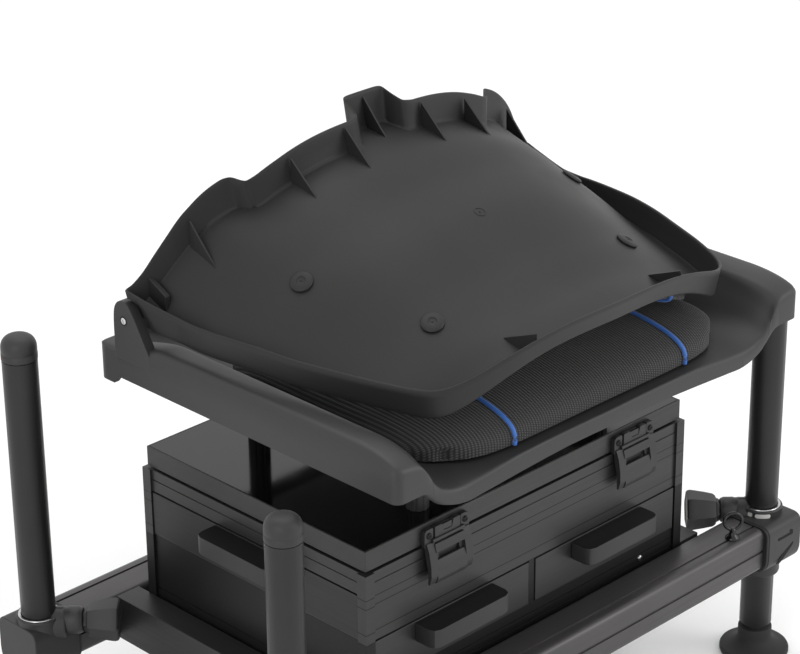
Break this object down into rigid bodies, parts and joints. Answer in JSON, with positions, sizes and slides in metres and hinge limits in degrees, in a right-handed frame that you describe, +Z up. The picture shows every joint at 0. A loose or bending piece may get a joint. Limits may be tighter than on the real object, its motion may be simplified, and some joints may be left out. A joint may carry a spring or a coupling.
{
  "type": "fishing seat box",
  "caption": "Match-fishing seat box: grooved black drawer box on clamped round legs, with a moulded seat tray and a padded backrest that folds forward over the seat.",
  "frame": {"origin": "middle of the outline, on the ground", "axes": "+X along the box's front towards its right, +Y from the front to the back, +Z up"},
  "size_m": [0.7876, 0.514, 0.6984],
  "materials": {
    "black_plastic": "satin",
    "black_aluminium": "anodised satin",
    "leg_tube": "anodised satin",
    "gloss_sheet": "gloss",
    "charcoal_fabric": "woven",
    "bare_steel": "satin"
  },
  "bodies": {
    "box": {"front_rail": "black_aluminium", "rear_rail": "black_aluminium", "left_side_rail": "black_aluminium", "right_side_rail": "black_aluminium", "front_left_clamp": "black_plastic", "front_right_clamp": "black_plastic", "rear_left_clamp": "black_plastic", "rear_right_clamp": "black_plastic", "upper_box": "black_aluminium", "lower_box": "black_aluminium", "left_latch_keeper": "black_plastic", "right_latch_keeper": "black_plastic", "lid_hinge_box_leaf": "bare_steel", "lid_hinge_pin": "bare_steel"},
    "lid": {"lid_frame": "black_aluminium", "lid_sheet": "gloss_sheet", "lid_hinge_lid_leaf": "bare_steel", "left_latch_base": "black_plastic", "right_latch_base": "black_plastic", "seat_tray": "black_plastic", "front_left_tray_post": "black_plastic", "front_right_tray_post": "black_plastic", "rear_left_tray_post": "black_plastic", "rear_right_tray_post": "black_plastic", "seat_cushion": "charcoal_fabric", "left_hinge_pin": "bare_steel", "right_hinge_pin": "bare_steel"},
    "backrest": {"backrest_shell": "black_plastic", "backrest_cushion": "charcoal_fabric", "front_left_rivet": "black_plastic", "front_right_rivet": "black_plastic", "rear_left_rivet": "black_plastic", "rear_right_rivet": "black_plastic"},
    "left_latch": {"left_latch_lever": "black_plastic"},
    "right_latch": {"right_latch_lever": "black_plastic"},
    "side_drawer_tray": {"side_drawer": "black_aluminium", "side_drawer_handle": "black_plastic"},
    "left_front_drawer_tray": {"left_front_drawer": "black_aluminium", "left_front_drawer_handle": "black_plastic"},
    "right_front_drawer_tray": {"right_front_drawer": "black_aluminium", "right_front_drawer_handle": "black_plastic"},
    "front_left_leg_tube": {"front_left_leg": "leg_tube", "front_left_leg_cap": "black_plastic"},
    "front_left_mud_foot": {"front_left_foot": "black_plastic"},
    "front_left_knob": {"front_left_clamp_knob": "black_plastic"},
    "front_left_eye": {"front_left_eye_screw": "leg_tube"},
    "front_right_leg_tube": {"front_right_leg": "leg_tube", "front_right_leg_cap": "black_plastic"},
    "front_right_mud_foot": {"front_right_foot": "black_plastic"},
    "front_right_knob": {"front_right_clamp_knob": "black_plastic"},
    "front_right_eye": {"front_right_eye_screw": "leg_tube"},
    "rear_left_leg_tube": {"rear_left_leg": "leg_tube", "rear_left_leg_cap": "black_plastic"},
    "rear_left_mud_foot": {"rear_left_foot": "black_plastic"},
    "rear_left_knob": {"rear_left_clamp_knob": "black_plastic"},
    "rear_right_leg_tube": {"rear_right_leg": "leg_tube", "rear_right_leg_cap": "black_plastic"},
    "rear_right_mud_foot": {"rear_right_foot": "black_plastic"},
    "rear_right_knob": {"rear_right_clamp_knob": "black_plastic"}
  },
  "joints": [
    {"name": "lid_hinge", "type": "hinge", "parent": "box", "child": "lid", "pos_m": [0, 0.1873, 0.327], "axis": [-1, 0, 0], "range_deg": [0, 80]},
    {"name": "backrest_hinge", "type": "hinge", "parent": "lid", "child": "backrest", "pos_m": [0, 0.1306, 0.524], "axis": [-1, 0, 0], "range_deg": [0, 100]},
    {"name": "left_latch_hinge", "type": "hinge", "parent": "lid", "child": "left_latch", "pos_m": [-0.127, -0.1505, 0.332], "axis": [-1, 0, 0], "range_deg": [0, 100]},
    {"name": "right_latch_hinge", "type": "hinge", "parent": "lid", "child": "right_latch", "pos_m": [0.152, -0.1505, 0.332], "axis": [-1, 0, 0], "range_deg": [0, 100]},
    {"name": "side_drawer_slide", "type": "slide", "parent": "box", "child": "side_drawer_tray", "axis": [-1, 0, 0], "range_m": [0, 0.35]},
    {"name": "left_front_drawer_slide", "type": "slide", "parent": "box", "child": "left_front_drawer_tray", "axis": [0, -1, 0], "range_m": [0, 0.24]},
    {"name": "right_front_drawer_slide", "type": "slide", "parent": "box", "child": "right_front_drawer_tray", "axis": [0, -1, 0], "range_m": [0, 0.24]},
    {"name": "front_left_leg_slide", "type": "slide", "parent": "box", "child": "front_left_leg_tube", "axis": [0, 0, 1], "range_m": [-0.2, 0.04]},
    {"name": "front_left_foot_tilt", "type": "hinge", "parent": "front_left_leg_tube", "child": "front_left_mud_foot", "pos_m": [-0.3548, -0.166, 0.048], "axis": [1, 0, 0], "range_deg": [-12, 12]},
    {"name": "front_left_knob_turn", "type": "hinge", "parent": "box", "child": "front_left_knob", "pos_m": [-0.31662, -0.12782, 0.179], "axis": [0.7071, 0.7071, 0], "range_deg": [0, 360]},
    {"name": "front_left_eye_turn", "type": "hinge", "parent": "box", "child": "front_left_eye", "pos_m": [-0.2828, -0.1833, 0.19], "axis": [0, 0, 1], "range_deg": [0, 360]},
    {"name": "front_right_leg_slide", "type": "slide", "parent": "box", "child": "front_right_leg_tube", "axis": [0, 0, 1], "range_m": [-0.2, 0.04]},
    {"name": "front_right_foot_tilt", "type": "hinge", "parent": "front_right_leg_tube", "child": "front_right_mud_foot", "pos_m": [0.3548, -0.166, 0.048], "axis": [1, 0, 0], "range_deg": [-12, 12]},
    {"name": "front_right_knob_turn", "type": "hinge", "parent": "box", "child": "front_right_knob", "pos_m": [0.31662, -0.12782, 0.179], "axis": [-0.7071, 0.7071, 0], "range_deg": [0, 360]},
    {"name": "front_right_eye_turn", "type": "hinge", "parent": "box", "child": "front_right_eye", "pos_m": [0.2828, -0.1833, 0.19], "axis": [0, 0, 1], "range_deg": [0, 360]},
    {"name": "rear_left_leg_slide", "type": "slide", "parent": "box", "child": "rear_left_leg_tube", "axis": [0, 0, 1], "range_m": [-0.2, 0.04]},
    {"name": "rear_left_foot_tilt", "type": "hinge", "parent": "rear_left_leg_tube", "child": "rear_left_mud_foot", "pos_m": [-0.3548, 0.218, 0.048], "axis": [1, 0, 0], "range_deg": [-12, 12]},
    {"name": "rear_left_knob_turn", "type": "hinge", "parent": "box", "child": "rear_left_knob", "pos_m": [-0.31662, 0.17982, 0.179], "axis": [0.7071, -0.7071, 0], "range_deg": [0, 360]},
    {"name": "rear_right_leg_slide", "type": "slide", "parent": "box", "child": "rear_right_leg_tube", "axis": [0, 0, 1], "range_m": [-0.2, 0.04]},
    {"name": "rear_right_foot_tilt", "type": "hinge", "parent": "rear_right_leg_tube", "child": "rear_right_mud_foot", "pos_m": [0.3548, 0.218, 0.048], "axis": [1, 0, 0], "range_deg": [-12, 12]},
    {"name": "rear_right_knob_turn", "type": "hinge", "parent": "box", "child": "rear_right_knob", "pos_m": [0.31662, 0.17982, 0.179], "axis": [-0.7071, -0.7071, 0], "range_deg": [0, 360]}
  ]
}
